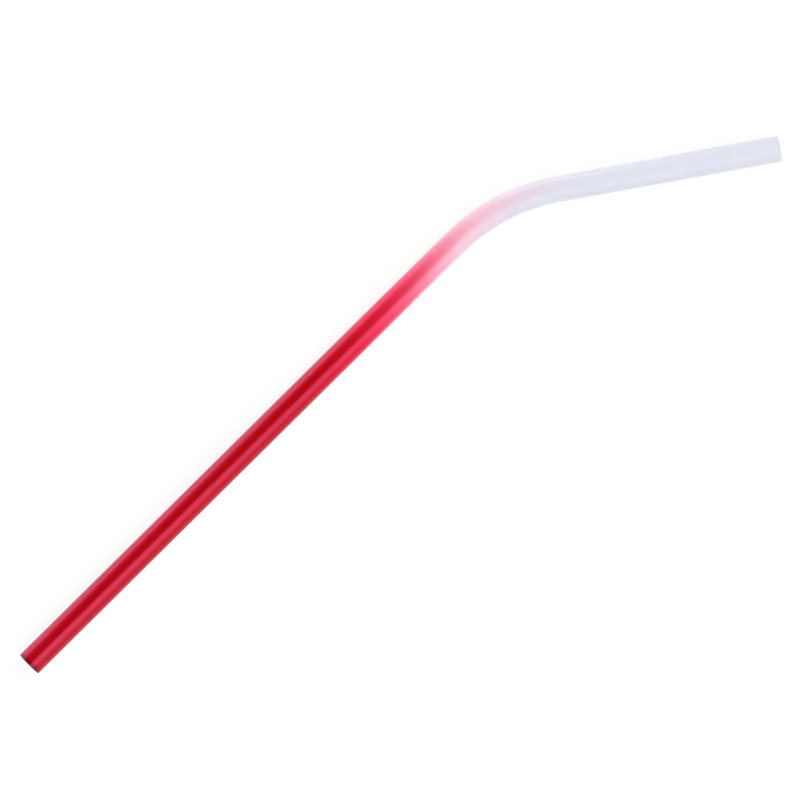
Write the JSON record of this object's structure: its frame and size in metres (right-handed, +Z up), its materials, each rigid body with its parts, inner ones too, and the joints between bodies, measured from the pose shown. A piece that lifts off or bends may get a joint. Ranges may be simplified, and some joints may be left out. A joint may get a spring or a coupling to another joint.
{
  "type": "bent drinking straw",
  "caption": "Reusable metal drinking straw: a thin round tube bent once near its mouth end, cut square at both ends, with a finish that fades from red to pale lavender.",
  "frame": {"origin": "on the surface the straw lies on, under the middle of its bounding box", "axes": "+X along the long drinking leg, from its open end towards the bend; the mouth leg turns towards -Y; +Z up, out of the surface, square to the plane of the bend"},
  "size_m": [0.206, 0.0424, 0.006],
  "materials": {
    "coated_steel": "glossy lacquer over drawn stainless steel, red at the drinking end, fading through pink before the bend to a pale lavender white on the mouth leg; bare drawn steel inside the bore"
  },
  "bodies": {
    "root": {"straw_tube": "coated_steel"}
  },
  "joints": []
}
